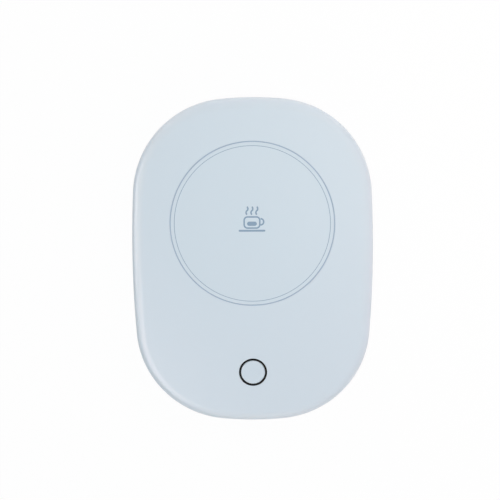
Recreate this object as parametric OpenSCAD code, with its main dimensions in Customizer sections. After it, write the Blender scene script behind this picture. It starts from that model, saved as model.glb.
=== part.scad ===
// Desktop mug warmer: a flat housing with a round heated plate, one push button
// near the front and a power inlet in the back wall.
// Origin: bottom centre. +Z up, +X right, +Y towards the back. Millimetres.

/* [Housing] */
// Width of the housing
body_w = 110; // [106:1:132]
// Length of the housing, front to back
body_l = 149; // [145:1:180]
// Height from the table to the top face
body_h = 20; // [20:0.5:26]
// Radius of the long sides, seen from above
side_r = 500; // [300:10:1200]
// Radius of the two ends, seen from above
end_r = 143; // [110:1:300]
// Radius of the four corners, seen from above
corner_r = 44; // [38:0.5:47]
// Wall of both covers
wall = 2; // [1.6:0.1:2.2]
// Radius of the soft top edge
top_edge_r = 4; // [3:0.25:5]
// Radius of the tucked-in lower edge
low_edge_r = 4.5; // [3.5:0.25:5.5]
// How much the side wall leans in towards the top
draft = 0.2; // [0.1:0.05:0.5]
// Height of the joint between the covers above the table
parting_z = 6.5; // [6.2:0.1:7.5]
// Shadow gap between the covers
parting_gap = 0.3; // [0.2:0.05:0.5]

/* [Heated plate] */
// Radius of the plate where it shows
plate_r = 36.65; // [32:0.05:38]
// Distance from the back end to the centre of the plate
plate_from_back = 56.5; // [56:0.5:62]
// Width of the gasket that shows round the plate
gasket_w = 0.45; // [0.3:0.05:1]
// Thickness of the plate
plate_t = 1.6; // [1.2:0.1:1.8]
// Thickness of the insulation under the heater
pad_t = 4; // [3:0.5:4.5]

/* [Button] */
// Radius of the button
button_r = 5.5; // [4.5:0.1:6.5]
// Distance from the front end to the centre of the button
button_from_front = 24.1; // [23:0.1:27]
// Width of the ring round the button
ring_w = 0.9; // [0.6:0.05:1.5]
// Travel of the button
button_travel = 0.4; // [0.3:0.05:0.5]
// Running gap round the button and the switch plunger
run_clear = 0.08; // [0.05:0.01:0.1]

/* [Boards] */
// Width of the control board
board_w = 56; // [50:1:60]
// Length of the control board, front to back
board_l = 32; // [30:1:33]
// Thickness of the control board
board_t = 1.6; // [1:0.1:1.6]
// Height of the middle of the power inlet above the table
inlet_z = 10.6; // [10.2:0.1:11]

/* [Feet and screws] */
// Radius of a rubber foot
foot_r = 6; // [5:0.25:7]
// How far the feet stand out under the housing
foot_h = 1.5; // [1:0.1:2]
// Depth of the recess that holds a foot
foot_recess = 1; // [0.8:0.1:1.2]
// Radius of a case screw
case_screw_r = 1.3; // [1.2:0.05:1.5]
// Radius of a small screw
small_screw_r = 1; // [0.9:0.05:1.1]

/* [Hidden] */
$fn = 72;
eps = 0.5;                       // how far a boss runs into the wall that carries it
side_steps = 6;
end_steps = 8;
corner_steps = 18;
edge_steps = 7;
shell_colour = [0.80, 0.85, 0.88];
ink_colour = [0.08, 0.08, 0.10];
metal_colour = [0.78, 0.79, 0.80];
board_colour = [0.10, 0.35, 0.22];

// Outline seen from above: arcs that meet tangent, about three centres a quarter
side_cx = body_w / 2 - side_r;
end_cy = body_l / 2 - end_r;
centres_apart = norm([side_cx, end_cy]);
along = ((side_r - corner_r) ^ 2 - (end_r - corner_r) ^ 2 + centres_apart ^ 2) / (2 * centres_apart);
across = sqrt((side_r - corner_r) ^ 2 - along ^ 2);
towards = [-side_cx, end_cy] / centres_apart;
corner_c = [side_cx, 0] + along * towards + across * [-towards.y, towards.x];
side_a = atan2(corner_c.y, corner_c.x - side_cx);
end_a = atan2(corner_c.y - end_cy, corner_c.x);
ARCS = [
    [[side_cx, 0], side_r, -side_a, side_a, side_steps],
    [corner_c, corner_r, side_a, end_a, corner_steps],
    [[0, end_cy], end_r, end_a, 180 - end_a, end_steps],
    [[-corner_c.x, corner_c.y], corner_r, 180 - end_a, 180 - side_a, corner_steps],
    [[-side_cx, 0], side_r, 180 - side_a, 180 + side_a, side_steps],
    [-corner_c, corner_r, 180 + side_a, 180 + end_a, corner_steps],
    [[0, -end_cy], end_r, 180 + end_a, 360 - end_a, end_steps],
    [[corner_c.x, -corner_c.y], corner_r, 360 - end_a, 360 - side_a, corner_steps]
];

// Heights, from the table up
floor_z = foot_h;
floor_top = floor_z + wall;
ceiling_z = body_h - wall;
edge_z = body_h - top_edge_r;
shoulder_z = parting_z - parting_gap;
shoulder_flat = 0.1;             // straight wall kept above the lower edge
tuck_r = min(low_edge_r, shoulder_z - floor_z - shoulder_flat);

// Lip of the bottom cover inside the top cover
lip_h = 1.8;
lip_t = 1.2;
lip_clear = 0.15;
lip_in = wall + lip_clear;

// Ribs of both covers
rib_t = 1.2;
top_rib_h = 4;
top_rib_z = ceiling_z - top_rib_h;

// Heated plate and what lies under it
plate_y = body_l / 2 - plate_from_back;
plate_c = [0, plate_y];
opening_r = plate_r + gasket_w;
flange_w = 3.35;
flange_t = 1;
gasket_t = 0.6;
rim_t = 1.6;
flange_r = plate_r + flange_w;
flange_z = ceiling_z - gasket_t - flange_t;
spreader_t = 1;
spreader_r = plate_r - rim_t - 0.15;
spreader_z = body_h - plate_t - spreader_t;
film_t = 0.4;
film_r = spreader_r - 1.5;
film_z = spreader_z - film_t;
pad_z = film_z - pad_t;
pad_r = spreader_r - 0.1;
retainer_t = 1.2;
retainer_z = pad_z - retainer_t;
retainer_in = plate_r + 0.35;
retainer_r = flange_r - 1;
well_in = flange_r + 0.2;
well_t = 1.2;
well_h = 2.6;
key_w = 6;                       // key on the flange that stops the plate from turning
key_clear = 0.2;
key_reach = well_in + well_t - flange_r;
hub_r = 5;
under_rib_h = 1.2;

// Places of the screws that hold the plate
small_boss_r = 2.8;
small_head_r = 2.1;
small_head_h = 1.3;
small_screw_l = 4.4;
ear_r = 3.2;
arm_w = 5;
ear_d = well_in + small_boss_r + 0.4;
EAR_ANGLES = [30, 150, 270];
EARS = [for (a = EAR_ANGLES) plate_c + ear_d * aim(a)];

// Leads, which run in pairs
lead_r = 0.7;
sensor_lead_r = 0.45;
lead_pitch = 2.5;
sensor_pitch = 1.4;
lead_sides = 8;

// Pockets and the slot for the leads in the insulation; the fuse lies between a lead and the film
sensor_at = [-14, plate_y];
sensor_r = 1.5;
sensor_l = 3.2;
sensor_hole_r = 2.4;
fuse_r = pad_t / 2;
fuse_l = 10;
fuse_wire_r = 0.4;
fuse_wire_l = 1.6;
fuse_room = 0.6;
solder_gap = 0.05;
lead_slot = [7, 5];
lead_slot_at = [14, plate_y - 18];
fuse_end = fuse_l / 2 + fuse_wire_l;
fuse_at = lead_slot_at + [lead_pitch / 2, lead_r + solder_gap + fuse_end];

// Button, from the top down
button_y = -body_l / 2 + button_from_front;
ring_in = button_r + run_clear;
ring_out = ring_in + ring_w;
ring_flange_r = ring_out + 1.3;
ring_flange_t = 1.2;
ring_z = ceiling_z - ring_flange_t;
collar_clear = 0.1;
collar_t = 1;
collar_h = 1.8;
stop_gap = 0.05;
cap_flange_r = button_r + 1.5;
cap_flange_t = 1;
cap_flange_z = ring_z - stop_gap - cap_flange_t;
cap_edge = 0.3;
cap_t = 1.2;
stem_r = 1.7;
stem_l = 0.35;
plunger_r = 1.75;
plunger_out = 0.9;
plunger_l = 2;
under_plunger = 0.1;
switch_w = 6;
switch_h = 3.4;
switch_leg = [0.9, 0.7, 0.3];
rivet_r = 0.45;
rivet_h = 0.15;
rivet_in = 0.9;
plunger_top = cap_flange_z - stem_l;
board_top = plunger_top - plunger_out - switch_h;
board_z = board_top - board_t;
board_shift = 3.4;               // how far the board's middle lies behind the button
board_y = button_y + board_shift;

// Screws of the two boards
board_corner_r = 1.5;
board_hole_in = 3.2;
board_boss_r = 2.6;
BOARD_HOLES = [for (x = [-1, 1]) for (y = [-1, 1])
    [x * (board_w / 2 - board_hole_in), board_y + y * (board_l / 2 - board_hole_in)]];
inlet_pcb = [24, 13, 1.2];
inlet_size = [8.94, 3.2, 7.4];
inlet_t = 0.3;
inlet_back_t = 1;
inlet_gap = 0.2;
inlet_leg = [0.3, 1, 1.6];
inlet_leg_clear = 0.15;
tongue = [6.7, 5, 0.7];
tongue_root = [6.9, 1.2, 2];
inlet_set_back = 0.4;
inlet_mouth_y = body_l / 2 - inlet_set_back;
inlet_board_top = inlet_z - inlet_size.y / 2;
inlet_board_z = inlet_board_top - inlet_pcb.z;
inlet_board_gap = 0.8;
inlet_leg_in = 1;
inlet_leg_pitch = 2;
inlet_board_back = body_l / 2 - lip_in - lip_t - inlet_board_gap;
INLET_LEG_Y = [for (i = [0, 1]) inlet_board_back - inlet_leg_in - i * inlet_leg_pitch];
inlet_boss_r = 2.4;
INLET_HOLES = [for (x = [-1, 1])
    [x * (inlet_pcb.x / 2 - board_hole_in), inlet_board_back - board_hole_in]];

// Case screws, with a foot under each
case_boss_r = 3.4;
case_gap = 1.2;
case_back_d = (well_in + well_t + case_gap + case_boss_r) * sqrt(0.5);
case_board_gap = 2;
case_front_x = board_w / 2 + case_board_gap + case_boss_r;
case_front_y = button_y + 0.5;
CASE = [for (x = [-1, 1]) each [[x * case_back_d, plate_y + case_back_d], [x * case_front_x, case_front_y]]];
case_joint_z = 5.6;
case_seat_z = 4.2;
case_head_r = 2.6;
case_head_h = 1.6;
case_screw_l = 10;
case_well_r = case_head_r + 1.5;
head_room = 0.2;
foot_edge = 0.5;

// Ribs under the ceiling: round the plate's well, and out from the front bosses
RIB_ANGLES = [0, 45, 65, 115, 135, 180, 225, 315];
TOP_RIBS = concat(
    [for (a = RIB_ANGLES) [plate_c + (well_in + eps) * aim(a), plate_c + body_l * aim(a)]],
    [for (x = [-1, 1]) let (boss = [x * case_front_x, case_front_y]) [boss, boss + body_w * [x, -1]]],
    [for (boss = [BOARD_HOLES[0], BOARD_HOLES[2]]) [boss, boss - [0, body_l]]]);

// Ribs on the floor: a frame between the case bosses, and two more across
low_rib_z = case_joint_z - 0.1;
rib_behind_button = 26;
rib_behind_plate = 18;
MID_RIBS_Y = [button_y + rib_behind_button, plate_y + rib_behind_plate];
LOW_RIBS = concat(
    [for (x = [-1, 1]) [[x * case_back_d, plate_y + case_back_d], [x * case_front_x, case_front_y]]],
    [[[-case_back_d, plate_y + case_back_d], [case_back_d, plate_y + case_back_d]],
    [[-case_front_x, case_front_y], [case_front_x, case_front_y]]],
    [for (y = MID_RIBS_Y) [[-case_back_d, y], [case_back_d, y]]]);

// Vent slots in the floor
vent_count = 7;
vent_pitch = 6;
vent_w = 1.8;
vent_l = 18;

// Parts on the control board, outwards from the lamps beside the switch
part_gap = 0.7;
package_gap = 2.5;
led = [1.6, 0.8, 0.4];
led_lens_r = 0.36;
led_lens_h = 0.4;
led_x = (ring_in + ring_out) / 2;
parts_x = led_x + led.x / 2 + part_gap;
resistor = [2, 1.25, 0.5];
resistor_end = [0.4, 1.35, 0.6];
resistor_pitch = 2.6;
resistor_count = 6;
resistor_at = [parts_x + resistor.x / 2, board_y + 8];
cap_can_r = 2.5;
cap_can_h = 5;
cap_base_w = 5.4;
cap_base_h = 0.8;
cap_corner = 1.2;
cap_x = resistor_at.x + resistor.x / 2 + part_gap + cap_base_w / 2;
CAPACITORS = [[cap_x, board_y - 8], [cap_x, board_y - 1]];
chip = [4.9, 3.9, 1.35];
chip_up = 0.1;
chip_leg_pitch = 1.27;
chip_at = [-parts_x - package_gap - chip.x / 2, board_y - 6];
transistor = [6.6, 6.1, 2.3];
transistor_tab = [5.3, 1.2, 0.5];
transistor_leg_pitch = 4.57;
transistor_at = [-parts_x - package_gap - transistor.x / 2, board_y + 4];
chip_leg = [0.4, 1, 0.8, 0.2];   // width, reach, height, thickness
transistor_leg = [0.8, 2.4, 1.2, 0.5];
plug = [7, 2.6, 4];
plug_latch = [2.4, 1.8, 0.5];
latch_gap = 0.7;
header = [8.2, 3.2, board_z - floor_top - plug_latch.z - latch_gap];
connector_in = 1.6;              // from the board's back edge
connector_back = board_y + board_l / 2 - connector_in;
CONNECTOR_X = [sensor_at.x, 0, lead_slot_at.x];

// Routes of the leads: points [y, z], each pair in a plane of its own x
lead_low = floor_top + lead_r + 0.2;
heater_low = lead_low + 2;
lead_start = [connector_back, board_z - 3];
lead_down = lead_start + [8, 0];
inlet_pad_y = inlet_board_back - inlet_pcb.y + 2;
HEATER_ROUTE = [lead_start, lead_down, [lead_slot_at.y - 6, heater_low], [lead_slot_at.y, heater_low],
    [lead_slot_at.y, film_z]];
SENSOR_ROUTE = [lead_start, lead_down, [lead_down.x + 6, lead_low], [sensor_at.y - 6, lead_low],
    [sensor_at.y, lead_low], [sensor_at.y, film_z - sensor_l]];
POWER_ROUTE = [lead_start, lead_down, [lead_down.x + 6, lead_low], [inlet_pad_y - 6, lead_low],
    [inlet_pad_y, lead_low], [inlet_pad_y, inlet_board_z]];

// Hooks on the floor that hold the leads down: [place, half width of the pair, top of the leads]
clip_l = 3;
clip_t = 0.9;
clip_gap = 0.2;
clip_hook = 1;
clip_from_plate = 24;
clip_from_slot = 14;
lead_half_w = lead_pitch / 2 + lead_r;
sensor_half_w = sensor_pitch / 2 + sensor_lead_r;
CLIPS = [
    [[sensor_at.x, plate_y - clip_from_plate], sensor_half_w, lead_low + sensor_lead_r],
    [[lead_slot_at.x, lead_slot_at.y - clip_from_slot], lead_half_w, max(lead_down.y, heater_low) + lead_r],
    [[0, plate_y + clip_from_plate], lead_half_w, lead_low + lead_r]];

// Gaps in the floor's ribs for the leads: [x, half width, where the leads leave the floor]
channel_clear = 0.6;
CHANNELS = [
    [sensor_at.x, sensor_half_w + channel_clear, sensor_at.y],
    [lead_slot_at.x, lead_half_w + channel_clear, lead_slot_at.y],
    [0, lead_half_w + channel_clear, inlet_pad_y]];

// Unit vector at an angle
function aim(a) = [cos(a), sin(a)];

// Points of the outline moved in by inset, anticlockwise
function outline(inset) = [for (arc = ARCS) for (i = [0 : arc[4] - 1])
    let (a = arc[2] + (arc[3] - arc[2]) * i / arc[4]) arc[0] + (arc[1] - inset) * aim(a)];

// Quarter round in [inset, z], from angle a0 to a1 about a centre
function edge(centre, r, a0, a1) = [for (i = [0 : edge_steps])
    let (a = a0 + (a1 - a0) * i / edge_steps) centre + r * aim(a)];

// Solid through a row of rings with equally many points, with a flat cap at either end
module skin(rings) {
    n = len(rings[0]);
    last = (len(rings) - 1) * n;
    sides = [for (k = [0 : len(rings) - 2]) for (i = [0 : n - 1])
        let (j = (i + 1) % n) [k * n + i, (k + 1) * n + i, (k + 1) * n + j, k * n + j]];
    first_cap = [for (i = [0 : n - 1]) i];
    last_cap = [for (i = [n - 1 : -1 : 0]) last + i];
    polyhedron([for (ring = rings) each ring], concat([first_cap], sides, [last_cap]), convexity = 8);
}

// Shell or block whose rings are the outline, along a path of [inset, z]
module sweep(path) {
    skin([for (step = path) [for (p = outline(step[0])) [p.x, p.y, step[1]]]]);
}

// Route with every corner cut back to a quarter and three quarters of its sides
function smooth(p) = concat([p[0]], [for (i = [0 : len(p) - 2])
    each [0.75 * p[i] + 0.25 * p[i + 1], 0.25 * p[i] + 0.75 * p[i + 1]]], [p[len(p) - 1]]);

// Direction of a route at its point i
function heading(p, i) = let (d = p[min(i + 1, len(p) - 1)] - p[max(i - 1, 0)]) d / norm(d);

// Round lead at x along a route of [y, z]
module lead(x, route, r) {
    path = smooth(smooth(route));
    skin([for (i = [0 : len(path) - 1]) let (h = heading(path, i))
        [for (k = [0 : lead_sides - 1]) let (a = 360 * k / lead_sides)
            [x + r * cos(a), path[i].x + r * sin(a) * h.y, path[i].y - r * sin(a) * h.x]]]);
}

module at(places) {
    for (p = places) translate([p.x, p.y, 0]) children();
}

module rod(r, z0, z1) {
    translate([0, 0, z0]) cylinder(r = r, h = z1 - z0);
}

module ring(r_in, r_out, z0, z1) {
    difference() {
        rod(r_out, z0, z1);
        rod(r_in, z0 - eps, z1 + eps);
    }
}

// Bar with round ends along x, its middle at the origin
module stadium(w, h, l) {
    linear_extrude(l) {
        square([w - h, h], center = true);
        for (x = [-1, 1]) translate([x * (w - h) / 2, 0]) circle(d = h);
    }
}

// Plate with round corners, its middle at the origin
module rounded_plate(w, l, t, r) {
    linear_extrude(t) {
        square([w - 2 * r, l], center = true);
        square([w, l - 2 * r], center = true);
        for (x = [-1, 1]) for (y = [-1, 1]) translate([x * (w / 2 - r), y * (l / 2 - r)]) circle(r);
    }
}

// Upright rib from one point to another
module rib(from, to, z0, z1) {
    way = to - from;
    translate([from.x, from.y, z0]) rotate(atan2(way.y, way.x)) translate([0, -rib_t / 2, 0])
        cube([norm(way), rib_t, z1 - z0]);
}

// Block whose skin is the middle of the top cover's wall, where the ribs end
module rib_room() {
    sweep(concat([[draft + wall / 2, top_rib_z - eps]],
        edge([draft + top_edge_r, edge_z], top_edge_r - wall / 2, 180, 90)));
}

// Key of the plate's flange, out from the flange at the back and upwards from z0
module flange_key(w, reach, z0, z1) {
    translate([-w / 2, plate_y + flange_r - eps, z0]) cube([w, reach + eps, z1 - z0]);
}

module top_cover() {
    inner_r = top_edge_r - wall;
    color(shell_colour) difference() {
        union() {
            sweep(concat(
                edge([wall + draft + inner_r, edge_z], inner_r, 90, 180),
                [[wall, parting_z], [0, parting_z]],
                edge([draft + top_edge_r, edge_z], top_edge_r, 180, 90)));
            translate([0, plate_y, 0]) ring(well_in, well_in + well_t, ceiling_z - well_h, ceiling_z + eps);
            translate([0, button_y, 0])
                ring(ring_flange_r + collar_clear, ring_flange_r + collar_clear + collar_t,
                    ceiling_z - collar_h, ceiling_z + eps);
            intersection() {
                rib_room();
                for (ends = TOP_RIBS) rib(ends[0], ends[1], top_rib_z, ceiling_z + eps);
            }
            at(EARS) rod(small_boss_r, pad_z, ceiling_z + eps);
            at(BOARD_HOLES) rod(board_boss_r, board_top, ceiling_z + eps);
            at(INLET_HOLES) rod(inlet_boss_r, inlet_board_top, ceiling_z + eps);
            at(CASE) rod(case_boss_r, case_joint_z, ceiling_z + eps);
        }
        translate([0, plate_y, 0]) rod(opening_r, ceiling_z - eps, body_h + eps);
        translate([0, button_y, 0]) rod(ring_out, ceiling_z - eps, body_h + eps);
        at(EARS) rod(small_screw_r, pad_z - eps, retainer_z + small_screw_l);
        at(BOARD_HOLES) rod(small_screw_r, board_top - eps, board_z + small_screw_l);
        at(INLET_HOLES) rod(small_screw_r, inlet_board_top - eps, inlet_board_z + small_screw_l);
        at(CASE) rod(case_screw_r, case_joint_z - eps, case_seat_z + case_screw_l);
        translate([0, body_l / 2 + eps, inlet_z]) rotate([90, 0, 0])
            stadium(inlet_size.x + 2 * inlet_gap, inlet_size.y + 2 * inlet_gap, 3 * wall);
        flange_key(key_w + 2 * key_clear, key_reach + eps, ceiling_z - well_h - eps,
            flange_z + flange_t + key_clear);
    }
}

// Two hooks over a pair of leads
module clip(place, half_w, lead_top) {
    for (side = [0, 1]) translate([place.x, place.y - clip_l / 2, 0]) mirror([side, 0, 0]) {
        translate([half_w + clip_gap, 0, floor_top - eps])
            cube([clip_t, clip_l, lead_top + clip_gap + clip_t - floor_top + eps]);
        translate([half_w + clip_gap - clip_hook, 0, lead_top + clip_gap])
            cube([clip_hook + eps, clip_l, clip_t]);
    }
}

module bottom_cover() {
    lip_top = parting_z + lip_h;
    inner = lip_in + lip_t;
    base_in = draft + tuck_r;
    color(shell_colour) difference() {
        union() {
            sweep(concat(
                edge([base_in, floor_z + tuck_r], tuck_r, 270, 180),
                [[draft, shoulder_z], [lip_in, shoulder_z], [lip_in, lip_top], [inner, lip_top],
                [inner, floor_top + base_in - inner], [base_in, floor_top]]));
            at(CASE) rod(case_well_r, floor_top - eps, case_joint_z);
            difference() {
                for (ends = LOW_RIBS) rib(ends[0], ends[1], floor_top - eps, low_rib_z);
                for (way = CHANNELS) translate([way[0] - way[1], lead_start.x, floor_top])
                    cube([2 * way[1], way[2] - lead_start.x, low_rib_z]);
            }
            for (c = CLIPS) clip(c[0], c[1], c[2]);
        }
        at(CASE) rod(foot_r, floor_z - eps, floor_z + foot_recess);
        at(CASE) rod(case_head_r + head_room, floor_z, case_seat_z);
        at(CASE) rod(case_screw_r + head_room, floor_z, case_joint_z + eps);
        for (i = [0 : vent_count - 1])
            translate([(i - (vent_count - 1) / 2) * vent_pitch, plate_y, floor_z - eps])
                rotate(90) stadium(vent_l, vent_w, wall + 2 * eps);
    }
}

module heating_plate() {
    color(shell_colour) {
        translate([0, plate_y, 0]) rotate_extrude() polygon([
            [0, spreader_z + spreader_t], [plate_r - rim_t, spreader_z + spreader_t],
            [plate_r - rim_t, flange_z], [flange_r, flange_z], [flange_r, flange_z + flange_t],
            [plate_r, flange_z + flange_t], [plate_r, body_h], [0, body_h]]);
        flange_key(key_w, key_reach, flange_z, flange_z + flange_t);
    }
}

module plate_gasket() {
    color([0.62, 0.66, 0.70]) translate([0, plate_y, 0]) rotate_extrude() polygon([
        [plate_r, flange_z + flange_t], [flange_r, flange_z + flange_t], [flange_r, ceiling_z],
        [opening_r, ceiling_z], [opening_r, body_h], [plate_r, body_h]]);
}

module heat_spreader() {
    color("silver") translate([0, plate_y, 0]) rod(spreader_r, spreader_z, spreader_z + spreader_t);
}

module heater_film() {
    color([0.75, 0.45, 0.15]) translate([0, plate_y, 0]) rod(film_r, film_z, film_z + film_t);
}

module insulation_pad() {
    color([0.92, 0.90, 0.85]) difference() {
        translate([0, plate_y, 0]) rod(pad_r, pad_z, film_z);
        at([sensor_at]) rod(sensor_hole_r, pad_z - eps, film_z + eps);
        translate([fuse_at.x, fuse_at.y, pad_z])
            cube([2 * (fuse_r + fuse_room), 2 * (fuse_end + fuse_room), 3 * pad_t], center = true);
        translate([lead_slot_at.x, lead_slot_at.y, pad_z])
            cube([lead_slot.x, lead_slot.y, 3 * pad_t], center = true);
    }
}

module plate_retainer() {
    color([0.25, 0.26, 0.28]) difference() {
        union() {
            translate([0, plate_y, 0]) rod(retainer_r, retainer_z, pad_z);
            translate([0, plate_y, 0]) ring(retainer_in, retainer_r, retainer_z, flange_z);
            at(EARS) rod(ear_r, retainer_z, pad_z);
            for (a = EAR_ANGLES) translate([0, plate_y, retainer_z]) rotate(a)
                translate([retainer_in, -arm_w / 2, 0]) cube([ear_d - retainer_in, arm_w, retainer_t]);
            translate([0, plate_y, 0])
                ring(hub_r - rib_t, hub_r, retainer_z - under_rib_h, retainer_z + eps);
            for (a = EAR_ANGLES) for (turned = [0, 180])
                rib(plate_c + (hub_r - rib_t / 2) * aim(a + turned), plate_c + retainer_in * aim(a + turned),
                    retainer_z - under_rib_h, retainer_z + eps);
        }
        at(EARS) rod(small_screw_r + head_room, retainer_z - eps, pad_z + eps);
        at([sensor_at]) rod(sensor_hole_r, retainer_z - eps, pad_z + eps);
        translate([lead_slot_at.x, lead_slot_at.y, retainer_z])
            cube([lead_slot.x, lead_slot.y, 3 * retainer_t], center = true);
    }
}

// Pan-head screw whose head hangs below z
module screw(r, head_r, head_h, l, z) {
    rod(r, z, z + l);
    difference() {
        rod(head_r, z - head_h, z);
        translate([0, 0, z - head_h]) for (a = [0, 90]) rotate(a)
            cube([1.3 * head_r, 0.35 * head_r, head_h], center = true);
    }
}

module retainer_screws() {
    color(metal_colour) at(EARS) screw(small_screw_r, small_head_r, small_head_h, small_screw_l, retainer_z);
}

module thermistor() {
    color([0.15, 0.12, 0.10]) at([sensor_at]) rod(sensor_r, film_z - sensor_l, film_z);
}

// Thermal fuse on its side, with one wire bent up to the film
module thermal_fuse() {
    color("silver") translate([fuse_at.x, fuse_at.y, film_z - fuse_r]) {
        rotate([90, 0, 0]) {
            cylinder(r = fuse_r, h = fuse_l, center = true);
            cylinder(r = fuse_wire_r, h = 2 * fuse_end, center = true);
        }
        translate([0, fuse_end - fuse_wire_r, 0]) cylinder(r = fuse_wire_r, h = fuse_r);
    }
}

module control_board() {
    color(board_colour) difference() {
        translate([0, board_y, board_z]) rounded_plate(board_w, board_l, board_t, board_corner_r);
        at(BOARD_HOLES) rod(small_screw_r + head_room, board_z - eps, board_top + eps);
    }
}

// Leg of a package: out from its side towards -y, down to the board and out again
module leg(size) {
    reach = size[1];
    h = size[2];
    t = size[3];
    translate([-size[0] / 2, 0, 0]) rotate([90, 0, 90]) linear_extrude(size[0]) polygon([
        [eps, h], [-reach / 2, h], [-reach / 2, t], [-reach, t], [-reach, 0], [t - reach / 2, 0],
        [t - reach / 2, h - t], [eps, h - t]]);
}

module controller_chip() {
    color(ink_colour) translate([chip_at.x, chip_at.y, board_top]) {
        translate([-chip.x / 2, -chip.y / 2, chip_up]) cube(chip);
        for (side = [0, 1]) mirror([0, side, 0]) for (i = [-1.5 : 1.5])
            translate([i * chip_leg_pitch, -chip.y / 2, 0]) leg(chip_leg);
    }
}

module power_transistor() {
    color(ink_colour) translate([transistor_at.x, transistor_at.y, board_top]) {
        translate([-transistor.x / 2, -transistor.y / 2, 0]) cube(transistor);
        translate([-transistor_tab.x / 2, transistor.y / 2 - eps, 0]) cube(transistor_tab + [0, eps, 0]);
        for (x = [-1, 1]) translate([x * transistor_leg_pitch / 2, -transistor.y / 2, 0])
            leg(transistor_leg);
    }
}

// Upright cans on bases with two cut corners
module capacitors() {
    w = cap_base_w / 2;
    color("silver") at(CAPACITORS) {
        rod(cap_can_r, board_top, board_top + cap_can_h);
        translate([0, 0, board_top]) linear_extrude(cap_base_h) polygon([
            [w, -w], [w, w - cap_corner], [w - cap_corner, w],
            [cap_corner - w, w], [-w, w - cap_corner], [-w, -w]]);
    }
}

module resistors() {
    color(ink_colour) for (i = [0 : resistor_count - 1])
        translate([resistor_at.x, resistor_at.y - i * resistor_pitch, board_top]) {
            translate([0, 0, resistor.z / 2]) cube(resistor, center = true);
            for (x = [-1, 1]) translate([x * (resistor.x - resistor_end.x) / 2, 0, resistor_end.z / 2])
                cube(resistor_end, center = true);
        }
}

module status_leds() {
    color("white") for (x = [-1, 1]) translate([x * led_x, button_y, board_top]) {
        translate([0, 0, led.z / 2]) cube(led, center = true);
        cylinder(r = led_lens_r, h = led.z + led_lens_h);
    }
}

module switch_body() {
    half = switch_w / 2;
    color([0.2, 0.2, 0.22]) translate([0, button_y, 0]) difference() {
        union() {
            translate([-half, -half, board_top]) cube([switch_w, switch_w, switch_h]);
            for (x = [-1, 1]) for (y = [-1, 1]) {
                translate([x * (half - rivet_in), y * (half - rivet_in), 0])
                    rod(rivet_r, board_top, board_top + switch_h + rivet_h);
                translate([x * half, y * (half - rivet_in), board_top + switch_leg.z / 2])
                    cube([2 * switch_leg.x, switch_leg.y, switch_leg.z], center = true);
            }
        }
        rod(plunger_r + run_clear, plunger_top - plunger_l - button_travel - under_plunger,
            board_top + switch_h + eps);
    }
}

module switch_plunger() {
    color([0.85, 0.85, 0.82]) translate([0, button_y, 0])
        rod(plunger_r, plunger_top - plunger_l, plunger_top);
}

module button_cap() {
    color(shell_colour) translate([0, button_y, 0]) rotate_extrude() polygon([
        [0, plunger_top], [stem_r, plunger_top], [stem_r, body_h - cap_t],
        [button_r - cap_t, body_h - cap_t], [button_r - cap_t, cap_flange_z], [cap_flange_r, cap_flange_z],
        [cap_flange_r, cap_flange_z + cap_flange_t], [button_r, cap_flange_z + cap_flange_t],
        [button_r, body_h - cap_edge], [button_r - cap_edge, body_h], [0, body_h]]);
}

module button_ring() {
    color(ink_colour) translate([0, button_y, 0]) rotate_extrude() polygon([
        [ring_in, ring_z], [ring_flange_r, ring_z], [ring_flange_r, ceiling_z],
        [ring_out, ceiling_z], [ring_out, body_h], [ring_in, body_h]]);
}

// Headers under the board, each with its plug and the plug's latch
module lead_connectors() {
    color("ivory") for (x = CONNECTOR_X) translate([x, connector_back - plug.y, board_z]) {
        translate([-header.x / 2, -header.y, -header.z]) cube(header);
        translate([-plug.x / 2, -eps, lead_start.y - board_z - plug.z / 2]) cube(plug + [0, eps, 0]);
        translate([-plug_latch.x / 2, -plug_latch.y / 2, -header.z - plug_latch.z])
            cube(plug_latch + [0, 0, eps]);
    }
}

// Four legs from the sides of the inlet's shell through its board, or their slots with clear on each side
module inlet_legs(clear) {
    low = inlet_board_top - inlet_leg.z - clear;
    size = [inlet_leg.x + 2 * clear, inlet_leg.y + 2 * clear, inlet_z - low];
    for (x = [-1, 1]) for (y = INLET_LEG_Y)
        translate([x * (inlet_size.x - inlet_leg.x) / 2 - size.x / 2, y - size.y / 2, low])
            cube(size);
}

module inlet_board() {
    color(board_colour) difference() {
        translate([0, inlet_board_back - inlet_pcb.y / 2, inlet_board_z])
            rounded_plate(inlet_pcb.x, inlet_pcb.y, inlet_pcb.z, board_corner_r);
        at(INLET_HOLES) rod(small_screw_r + head_room, inlet_board_z - eps, inlet_board_top + eps);
        inlet_legs(inlet_leg_clear);
    }
}

module inlet_shell() {
    color(metal_colour) {
        translate([0, inlet_mouth_y, inlet_z]) rotate([90, 0, 0]) difference() {
            stadium(inlet_size.x, inlet_size.y, inlet_size.z);
            translate([0, 0, -eps]) stadium(inlet_size.x - 2 * inlet_t, inlet_size.y - 2 * inlet_t,
                inlet_size.z - inlet_back_t + eps);
        }
        inlet_legs(0);
    }
}

module inlet_tongue() {
    floor_y = inlet_mouth_y - inlet_size.z + inlet_back_t;
    color(ink_colour) translate([0, floor_y, inlet_z]) {
        translate([0, tongue.y / 2, 0]) cube(tongue, center = true);
        translate([0, tongue_root.y / 2, 0]) cube(tongue_root, center = true);
    }
}

// Two leads side by side
module lead_pair(x, pitch, route, r) {
    for (side = [-1, 1]) lead(x + side * pitch / 2, route, r);
}

module heater_leads() {
    color([0.75, 0.12, 0.10]) lead_pair(lead_slot_at.x, lead_pitch, HEATER_ROUTE, lead_r);
}

module sensor_leads() {
    color("white") lead_pair(sensor_at.x, sensor_pitch, SENSOR_ROUTE, sensor_lead_r);
}

module power_leads() {
    color([0.12, 0.12, 0.12]) lead_pair(0, lead_pitch, POWER_ROUTE, lead_r);
}

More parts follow.
